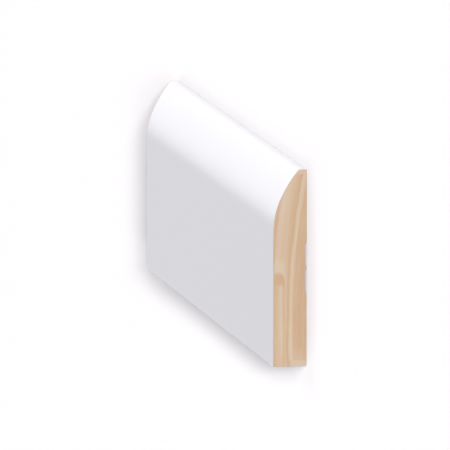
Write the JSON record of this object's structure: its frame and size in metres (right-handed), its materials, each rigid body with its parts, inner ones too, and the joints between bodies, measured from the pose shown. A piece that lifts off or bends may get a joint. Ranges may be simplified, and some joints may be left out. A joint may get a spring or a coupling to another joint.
{
  "type": "skirting board length",
  "caption": "Short length of painted softwood skirting board with a moulded round along its top edge and a relieved back.",
  "frame": {"origin": "centre of the back plane, on which the board lies", "axes": "+X along the board's length, +Y from the plain bottom edge to the moulded top edge, +Z out of the face"},
  "size_m": [0.25, 0.07, 0.012],
  "materials": {
    "painted_pine": "satin white paint on the face, the round, the top and the bottom edge; bare sawn pine on the two ends and the back"
  },
  "bodies": {
    "root": {"skirting_board": "painted_pine"}
  },
  "joints": []
}
